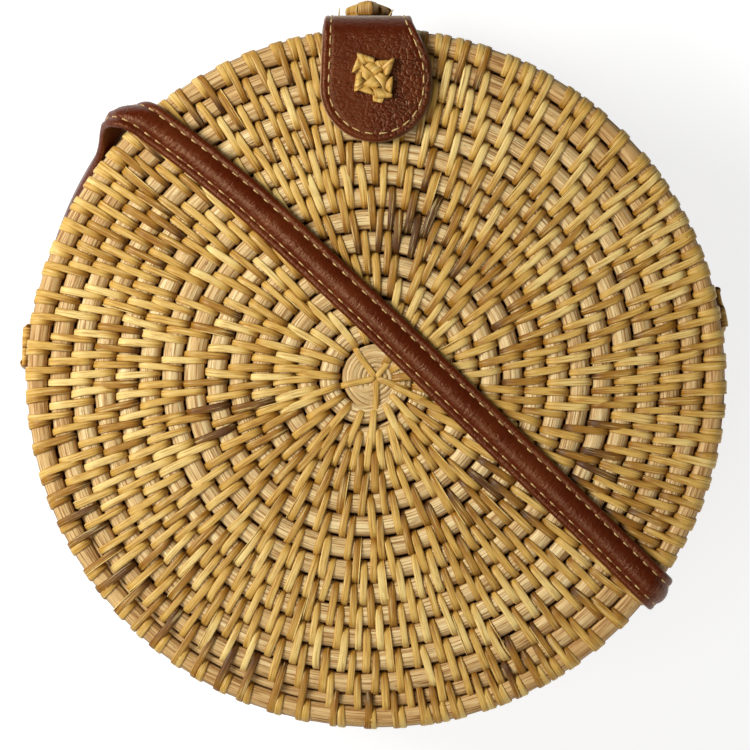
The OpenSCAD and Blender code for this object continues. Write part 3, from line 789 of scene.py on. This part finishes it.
# Half of the strap's section: across it, and out of it. The thread lies in the dip at 3.2.
half = [(0.0, 3.15), (0.9, 3.08), (1.7, 2.86), (2.4, 2.52), (2.85, 2.22), (3.2, 1.98), (3.55, 2.08),
        (4.2, 2.25), (4.9, 2.12), (5.3, 1.8), (5.48, 1.3), (5.5, 0.7), (5.3, 0.12), (3.0, 0.0)]
STRAP = np.array([(-v, w) for v, w in half[:0:-1]] + half)
rows = strap_rows(STRAP[:, 0], STRAP[:, 1])
n, m = rows.shape[:2]
along = travelled(rows.mean(1))
grain = np.stack([np.broadcast_to(along[:, None], (n, m)), np.broadcast_to(STRAP[:, 0], (n, m)),
                  np.broadcast_to(STRAP[:, 1] * 0.5, (n, m))], -1)
band = Pile()
# the strap gets little pebbling and little painted highlight
band.add(rows, [f[::-1] for f in skin(n, m)], grain, rub=0.12)
strap = band.make("strap_band", leather_look, None, False, [
    "strap_left_end", "strap_front_run", "strap_right_drop", "strap_under_run", "strap_right_end"])
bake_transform(strap)

seams = Pile()
for v in (-3.2, 3.2):
    line, above = (strap_rows(np.array((v,)), np.array((w,)))[:, 0] for w in (2.05, 2.8))
    stitch(seams, line, above, seed=0, ends=(3.0, 4.0), length=2.1, middle=1.1, gap=3.8,
           vary=0.15, radius=0.2)
seam = seams.make("strap_seams", thread_look)
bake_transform(seam)

# Tab
# A tongue of the same leather with a raw backing, sewn round its edge. Its front part is
# knotted to the face; the fold and the hanging end are one with it.
raw = Material("raw_leather", Specular_IOR_Level=0.3)
grain = raw.read("grain")
fuzz = raw.noise(grain, 1.6, 4.0, 0.7)
raw_look = raw.finish(raw.mix(fuzz.span(0.3, 0.7), rgb(140, 104, 74), rgb(196, 164, 128)),
                      0.85, fuzz, 0.0004, 0.5)

TIP_Y, ROUND_R, FOLD_R, TAB_LEAN, TAB_T = 67.1, 15.7, 6.9, -2.4, 3.0
TILT, TAIL_LEN, END_R, SEAM_IN = math.radians(4.91), 57.5, 12.8, 2.2
FACE_LEN = RIM_R - TIP_Y
# The neck narrows between these distances from the tip, by this much on each side
NECK_START, NECK_END, NECK_LEFT, NECK_RIGHT = 20.0, 38.0, 0.9, 5.4
BEND_LEN = FOLD_R * (math.pi / 2 - TILT)
TAB_LEN = FACE_LEN + BEND_LEN + TAIL_LEN
FOLD_WORN = FACE_LEN + 0.86 * BEND_LEN


def tab_edges(d):
    """Left and right edge of the tongue at distance d from its round tip."""
    f = min(1.0, max(0.0, (d - ROUND_R) / (NECK_END - ROUND_R)))
    g = min(1.0, max(0.0, (d - NECK_START) / (NECK_END - NECK_START)))
    left, right = -ROUND_R + NECK_LEFT * f, ROUND_R - NECK_RIGHT * g * g * (3 - 2 * g)
    if d < ROUND_R:
        half = math.sqrt(max(0.0, ROUND_R ** 2 - (ROUND_R - d) ** 2))
        return -half, half
    rest = TAB_LEN - d
    if rest < END_R:
        mid = (left + right) / 2
        half = math.sqrt(max(0.0, END_R ** 2 - (END_R - rest) ** 2)) * (right - left) / 2 / END_R
        return mid - half, mid + half
    return left, right


def tab_place(x, d, w):
    """A point of the tongue: x across, d from the tip, w out from the bag, in x, y, z."""
    if d < FACE_LEN:
        return (x, TIP_Y + d, Z_FRONT + BEND_IN + w)
    if d < FACE_LEN + BEND_LEN:
        b = math.pi / 2 - (d - FACE_LEN) / FOLD_R
        return (x, RIM_R + (BEND_IN + w) * math.cos(b), Z_FRONT + (BEND_IN + w) * math.sin(b))
    down = d - FACE_LEN - BEND_LEN
    y = RIM_R + FOLD_R * math.cos(TILT) + down * math.sin(TILT)
    z = Z_FRONT + FOLD_R * math.sin(TILT) - down * math.cos(TILT)
    out = w - TAB_T
    return (x, y + out * math.cos(TILT), z + out * math.sin(TILT))


def edge_gap(x, d):
    """Distance of a point of the tongue from its edge."""
    left, right = tab_edges(d)
    if d < ROUND_R:
        return ROUND_R - math.hypot(x, ROUND_R - d)
    rest = TAB_LEN - d
    if rest < END_R:
        return END_R - math.hypot(x - TAB_LEAN, END_R - rest)
    return min(x - left, right - x)


stations = ([ROUND_R * (1 - math.cos(a)) for a in np.linspace(0, math.pi / 2, 16)]
            + list(np.linspace(ROUND_R, FACE_LEN, 14))[1:]
            + list(np.linspace(FACE_LEN, FACE_LEN + BEND_LEN, 10))[1:]
            + list(np.linspace(FACE_LEN + BEND_LEN, TAB_LEN - END_R, 24))[1:]
            + [TAB_LEN - END_R * (1 - math.sin(a)) for a in np.linspace(0, math.pi / 2, 16)][1:])
spread = np.sin(np.linspace(-math.pi / 2, math.pi / 2, 45))


def tongue(name, low, high, inset, look, nodes):
    """One layer of the tongue, from low to high out from the bag."""
    pile, tops, bottoms, marks, worn, rub = Pile(), [], [], [], [], []
    leather_side = high > 2
    for d in stations:
        left, right = tab_edges(d)
        for f in spread:
            x = (left + right) / 2 + (right - left) / 2 * f - inset * f
            gap = max(0.0, edge_gap(x, d))
            top = high - 0.5 * (high - low) * max(0.0, 1 - gap / 0.8) ** 2
            if leather_side:
                # the seam pulls a groove, and the leather swells beside it
                top -= 0.28 * math.exp(-((gap - SEAM_IN) / 0.4) ** 2)
                top += 0.12 * math.exp(-((gap - 3.6) / 1.0) ** 2)
            tops.append(tab_place(x, d, min(top, high)))
            bottoms.append(tab_place(x, d, low + 0.05 * leather_side))
            marks.append((d, x, 0.0))
            worn.append(0.85 * math.exp(-((d - FOLD_WORN) / 1.6) ** 4) * leather_side)
            # the mask gives more pebbling and painted highlight towards the lower right of the
            # tongue
            low_right = 1 / (1 + math.exp(-(x - 2) / 3)) / (1 + math.exp((d - 26) / 4))
            rub.append(0.15 + 0.75 * low_right)
    n, m = len(stations), len(spread)
    faces = []
    for i in range(n - 1):
        for j in range(m - 1):
            a, b, c, e = i * m + j, i * m + j + 1, (i + 1) * m + j + 1, (i + 1) * m + j
            faces.append([a, b, c, e])
            faces.append([k + n * m for k in (e, c, b, a)])
        for j, flip in ((0, False), (m - 1, True)):
            a, b = i * m + j, (i + 1) * m + j
            quad = [a, b, b + n * m, a + n * m]
            faces.append(quad[::-1] if flip else quad)
    pile.add(tops + bottoms, faces, marks + [(d, x, 2.0) for d, x, _ in marks],
             worn=worn * 2, rub=rub * 2)
    obj = pile.make(name, look, None, False, nodes)
    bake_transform(obj)
    return obj


tongue("tab_hide", 0.8, TAB_T, 0.0, leather_look, ["tab_leather", "tail_leather"])
tongue("tab_lining", 0.0, 0.85, -0.3, raw_look, ["tab_backing", "tail_backing"])

# Two loose threads where the fold is worn: their foot and their way out
LOOSE = ((-10.6, FOLD_WORN, (0.2, 2.6, 0.9)), (3.6, FOLD_WORN + 1, (1.5, 2.2, 0.2)))
stitches = Pile()
for side in (-1, 1):
    line = []
    for d in np.arange(SEAM_IN, TAB_LEN - SEAM_IN + 0.01, 0.4):
        left, right = tab_edges(d)
        if d < ROUND_R:
            half = math.sqrt(max(0.0, (ROUND_R - SEAM_IN) ** 2 - (ROUND_R - d) ** 2))
            x = side * half
        elif TAB_LEN - d < END_R:
            half = math.sqrt(max(0.0, (END_R - SEAM_IN) ** 2 - (END_R - TAB_LEN + d) ** 2))
            x = TAB_LEAN + side * half
        else:
            x = (left + SEAM_IN) if side < 0 else (right - SEAM_IN)
        line.append((x, d))
    line, above = (np.array([tab_place(x, d, w) for x, d in line]) for w in (2.86, 4.0))
    stitch(stitches, line, above, seed=500, ends=(0.8, 3.0), length=2.6, middle=1.2, gap=3.5,
           vary=0.25, radius=0.22)
for x, d, out in LOOSE:
    foot = np.array(tab_place(x, d, 2.7))
    dash(stitches, foot, foot + out, (0, 0.3, 1), 0.17, 900)
obj = stitches.make("tab_seam", thread_look)
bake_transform(obj)

# Woven knots
# Small square knots plaited from wide strips of split cane, one on each strap end, one on
# the tab's front and one on its hanging end, tied through to the rows behind.
KNOT_T = 0.42
# Height of the closure's middle, which is also that of the hanging knot
SNAP_Z = 32.3
# Section of a strip that shows both its sides
BOTH_SIDES = np.array([(-0.5, 0.5), (-0.46, 0.8), (-0.25, 0.98), (0.05, 1.0), (0.3, 0.96),
                       (0.46, 0.8), (0.5, 0.5), (0.46, 0.2), (0.25, 0.02), (0.0, 0.0),
                       (-0.25, 0.02), (-0.46, 0.2)])


def woven_knot(pile, place, seed, turn, half, tail):
    """Two loops of strip woven in a square and folded at its sides; place maps x, y, z."""
    rnd = random.Random(seed)
    middle, swing, bend_r = 1.45, 0.9, 0.7
    turned = np.array(((math.cos(turn), math.sin(turn)), (-math.sin(turn), math.cos(turn))))
    waves = [rnd.uniform(0, 6) for _ in range(4)]

    def warped(x, y, z):
        """Place of a point after the knot's own unevenness and turn."""
        x, y = (x + 0.42 * math.sin(0.55 * y + waves[0]) + 0.2 * math.sin(1.3 * y + waves[1]),
                y + 0.42 * math.sin(0.55 * x + waves[2]) + 0.2 * math.sin(1.3 * x + waves[3]))
        x, y = np.array((x, y)) @ turned
        return np.array(place(x, y, z))

    def put(path, ups, sides, width, tone, key):
        """One strip with its direction at each point taken through the same place."""
        base = np.array([warped(*p) for p in path])
        up = np.array([warped(*p) for p in np.array(path) + 0.2 * np.array(ups)]) - base
        side = (np.array([warped(*p) for p in np.array(path) + 0.2 * np.array(sides)]) - base) * 5
        strip(pile, base, up, width, KNOT_T, tone, key, side, BOTH_SIDES)

    corners = np.array(((-half, -half / 2), (half / 2, half), (half, half / 2), (-half / 2, -half)))
    faces_out = np.array(((-1, 0), (0, 1), (1, 0), (0, -1)), float)
    for quarter in range(2):
        spin = np.array(((0, 1), (-1, 0))) if quarter else np.eye(2)
        path, ups, sides, facing = [], [], [], 1.0
        for k in range(4):
            a, b = (corners @ spin)[k], (corners @ spin)[(k + 1) % 4]
            out_a, out_b = (faces_out @ spin)[k], (faces_out @ spin)[(k + 1) % 4]
            a, b = a - bend_r * out_a, b - bend_r * out_b
            ahead = (b - a) / np.linalg.norm(b - a)
            across = np.array((ahead[1], -ahead[0])) * facing
            crease_a = np.array((-out_a[1], out_a[0]))
            crease_b = np.array((-out_b[1], out_b[0]))
            crease_a *= np.sign(crease_a @ across)
            crease_b *= np.sign(crease_b @ across)
            long = k % 2 == 0
            for f in np.linspace(0, 1, 19 if long else 8):
                cross = crease_a + (crease_b - crease_a) * f
                cross = cross / (cross @ across)
                level = math.cos(math.pi * f * (3 if long else 1))
                path.append((*(a + (b - a) * f), middle + swing * level))
                ups.append((0, 0, facing))
                sides.append((*cross, 0))
            for deg in (-60, -30, 0, 30, 60):
                t = math.radians(deg)
                path.append((*(b + bend_r * math.cos(t) * out_b), middle + swing * math.sin(t)))
                ups.append((*(-facing * math.cos(t) * out_b), -facing * math.sin(t)))
                sides.append((*(crease_b * math.sqrt(2)), 0))
            facing = -facing
        # it starts where it is lowest, so that its two ends lie hidden under a crossing
        begin = 6
        order = list(range(begin, len(path))) + list(range(begin + 1))
        path, ups, sides = ([rows[i] for i in order] for rows in (path, ups, sides))
        width = half * 0.7 * rnd.uniform(0.95, 1.02)
        # painted shade: each strip's tone darkens where it lies low under a crossing
        tone = [0.56 - 0.24 * (p[2] - middle) / swing + rnd.uniform(-0.03, 0.03) for p in path]
        put(path, ups, sides, width, tone, 700 + seed * 9 + quarter)
    if tail:
        f = np.linspace(0, 1, 10)
        path = np.column_stack([0.8 + 0.7 * f, 1.2 - half - tail * f, 1.0 - 0.8 * f])
        sides = np.tile((1.0, 0.15, 0.0), (10, 1))
        put(path, np.tile((0.1, 0.3, 1.0), (10, 1)), sides, 3.6 - 1.2 * f * f, 0.36, 780 + seed)


def wall_place(deg):
    """From a knot's own axes to its place on the wall, this many degrees round the bag."""
    a = math.radians(deg)
    out = np.array((math.cos(a), math.sin(a)))
    along = np.array((-math.sin(a), math.cos(a)))

    def place(x, y, z):
        xy = out * (RIM_R + BEND_IN + 2.62 + z) + along * x
        return (xy[0], xy[1], KNOT_Z + y)
    return place


def tail_place(x, y, z):
    """From a knot's own axes to its place on the tab's hanging end."""
    down = (Z_FRONT - SNAP_Z) / math.cos(TILT)
    return tab_place(TAB_LEAN - x, FACE_LEN + BEND_LEN + down + y - 0.4,
                     2.7 + z + max(0.0, z - 0.5) * 1.2 * math.exp(-(x / 4.5) ** 2))


for name, place, body, node, turn, half, tail in (
        ("front_knot", lambda x, y, z: (x - 0.6, 85.7 + y, Z_FRONT + BEND_IN + 2.85 + z),
         "front_shell", "tab_knot", -3, 5.2, 3.0),
        ("hanging_knot", tail_place, "tab_tail", "tail_knot", 38, 4.5, 2.6),
        ("left_strap_knot", wall_place(175), "back_shell", "strap_knot_left", 6, 5.8, 0),
        ("right_strap_knot", wall_place(11.5), "back_shell", "strap_knot_right", -5, 5.8, 0)):
    knot = Pile()
    woven_knot(knot, place, len(name), math.radians(turn), half, tail)
    knot.make(name, split_look, body, False, [node])

# Magnet closure
# Two thin brass-plated cups that a magnet holds together: the cap on the hanging end, the base
# on the wall with two prongs that go through a washer inside the lining.
brass = Material("aged_brass", Metallic=1.0)
grain = brass.read("grain")
tarnish = brass.noise(grain, 0.5, 4.0, 0.6)
brass_look = brass.finish(brass.mix(tarnish.span(0.35, 0.7), rgb(196, 160, 96), rgb(120, 92, 50)),
                          tarnish.span(0.3, 0.7, 0.28, 0.5), tarnish, 0.0002, 0.3)


def lathe(pile, profile, place, count=48):
    """Turned piece; profile is radius and height, place maps x, y, z."""
    a = 2 * math.pi * np.arange(count) / count
    points = np.array([[place(r * math.cos(b), r * math.sin(b), z) for b in a]
                       for r, z in profile])
    pile.add(points, skin(len(profile), count), points)


def block(pile, low, high):
    """Small flat bar between two corners with eased edges."""
    (x0, y0, z0), (x1, y1, z1) = low, high
    e = 0.12
    rings = [[(x0 + k, y, z0 + k), (x1 - k, y, z0 + k), (x1 - k, y, z1 - k), (x0 + k, y, z1 - k)]
             for y, k in ((y0, e), (y0 + e, 0), (y1 - e, 0), (y1, e))]
    pile.add(rings, skin(4, 4), rings)


# The discs' middle along the hanging end, and how deep each lies behind its outside
DROP, CAP_DEPTH, BASE_DEPTH = 0.3, 5.0, 7.4
DOWN = (Z_FRONT - SNAP_Z - DROP) / math.cos(TILT)
# The prongs: half their width, their distance from the middle and half their thickness, then
# where they end inside, where the washer starts and where they end in the disc
PRONG_X, PRONG_Z, PRONG_T = 3, 3.2, 0.36
PRONG_IN, WASHER_Y, PRONG_OUT = 89.9, 90.25, 100.2


def disc_place(depth):
    """From a disc's own axes to its place behind the hanging end; depth is from the outside."""
    def place(x, y, z):
        down = DOWN - y
        out = -(depth - z)
        yy = RIM_R + FOLD_R + down * math.sin(TILT) + out * math.cos(TILT)
        zz = Z_FRONT - DROP - down * math.cos(TILT) + out * math.sin(TILT)
        return (x + TAB_LEAN, yy, zz)
    return place


# Section of a cup: radius and height from its outside
CUP = ((0.4, 0.0), (5.2, 0.0), (5.6, 0.25), (6.1, 0.0), (7.1, 0.05), (7.45, 0.5), (7.45, 1.5),
       (7.1, 1.95), (6.2, 2.0), (5.7, 1.75), (5.2, 2.0), (2.0, 2.0), (1.6, 1.7), (0.3, 1.7))
cap = Pile()
lathe(cap, CUP, disc_place(CAP_DEPTH))
cap.make("closure_cap", brass_look, "tab_tail", False, ["snap_cap"])
base = Pile()
lathe(base, CUP, disc_place(BASE_DEPTH))
for side in (-1, 1):
    z = SNAP_Z + side * PRONG_Z
    block(base, (TAB_LEAN - PRONG_X, PRONG_IN, z - PRONG_T),
          (TAB_LEAN + PRONG_X, PRONG_OUT, z + PRONG_T))
base.make("closure_base", brass_look, "back_shell", False, ["snap_base"])
washer = Pile()
ring = [(1.1, 0.0), (5.6, 0.0), (5.95, 0.25), (5.95, 0.75), (5.6, 0.95), (1.1, 0.95), (1.0, 0.5)]
lathe(washer, ring, lambda x, y, z: (x + TAB_LEAN, WASHER_Y + z, SNAP_Z + y))
washer.make("closure_washer", brass_look, "back_shell", False, ["snap_washer"])

# Table, light and camera
# A plain white table, a soft lamp from the upper left, a weaker window, a white card low on the
# right and even light all round. The table's glow is only for the eye and for reflections, so
# it throws no light on the bag.
table = Material("white_table", Specular_IOR_Level=0.0, Emission_Strength=0.79)
path = table.node("ShaderNodeLightPath")
seen, shone, through = (Value(table, path.outputs[kind]) for kind in (
    "Is Camera Ray", "Is Glossy Ray", "Is Transmission Ray"))
shown = seen + shone + through
table.put(table.shader.inputs["Emission Color"], table.mix(shown, (0, 0, 0), (1, 1, 1)))
where = Value(table, table.node("ShaderNodeTexCoord").outputs["Object"])
mottle = table.noise(where, 9.0, 2.0)
near_white = table.mix(mottle, (0.34, 0.34, 0.34), (0.37, 0.37, 0.37))
table_look = table.finish(table.mix(shown, (0.8, 0.8, 0.8), near_white), 0.9)
HALF_TABLE = 3000.0
table_sheet = Pile()
corners = [(x * HALF_TABLE, y * HALF_TABLE, 0) for x, y in ((-1, -1), (1, -1), (1, 1), (-1, 1))]
table_sheet.add(corners, [[0, 1, 2, 3]], np.zeros((4, 3)))
floor = table_sheet.make("table_top", table_look)


def area_light(name, shape, size, energy, place):
    """A lit face turned to the middle of the bag; size and place are in metres."""
    data = bpy.data.lights.new(name, "AREA")
    data.shape, data.energy = shape, energy
    data.size, data.size_y = size
    light = bpy.data.objects.new(name, data)
    bpy.context.scene.collection.objects.link(light)
    light.location = place
    middle = Vector((0, -MIDDLE_Y / 1000, 0.04))
    light.rotation_euler = (middle - light.location).to_track_quat("-Z", "Y").to_euler()
    return light


lamp = area_light("soft_window", "DISK", (0.3, 0.3), 3.7, (-0.42, 0.156, 0.48))
window = area_light("wide_window", "RECTANGLE", (0.5, 0.3), 1.9, (-0.278, -0.298, 0.80))
card = area_light("white_card", "RECTANGLE", (0.6, 0.3), 1.3, (0.56, -0.50, 0.20))

world = bpy.data.worlds.new("white_room")
bpy.context.scene.world = world
world.use_nodes = True
world.node_tree.nodes.clear()
room = Nodes(world.node_tree)
ray = room.node("ShaderNodeLightPath")
seen, shone = (Value(room, ray.outputs[kind]) for kind in ("Is Camera Ray", "Is Glossy Ray"))


def glow(strength):
    """White light of one strength from all round."""
    return Value(room, room.node("ShaderNodeBackground", {}, {
        "Color": (1, 1, 1), "Strength": strength}).outputs[0])


def choose(amount, a, b):
    """Glow a, or glow b where the amount is 1."""
    return Value(room, room.node("ShaderNodeMixShader", {}, {0: amount, 1: a, 2: b}).outputs[0])


even = choose(shone, glow(0.11), glow(0.09))
room.node("ShaderNodeOutputWorld", {}, {"Surface": choose(seen, even, glow(1.0))})

# The camera looks straight down from CAMERA_UP over the strap, and sees SEEN_WIDTH there, in m
CAMERA_UP, CAMERA_OVER, SEEN_WIDTH, SENSOR = 1.1, 0.081, 0.2134, 36
scene = bpy.context.scene
scene.view_settings.view_transform = "Standard"
camera_data = bpy.data.cameras.new("photo_camera")
camera = bpy.data.objects.new("photo_camera", camera_data)
scene.collection.objects.link(camera)
camera.location = (-0.0003, -0.0030, CAMERA_OVER + CAMERA_UP)
camera_data.lens = SENSOR * CAMERA_UP / SEEN_WIDTH
camera_data.clip_start = 0.05
camera_data.clip_end = 20
scene.camera = camera
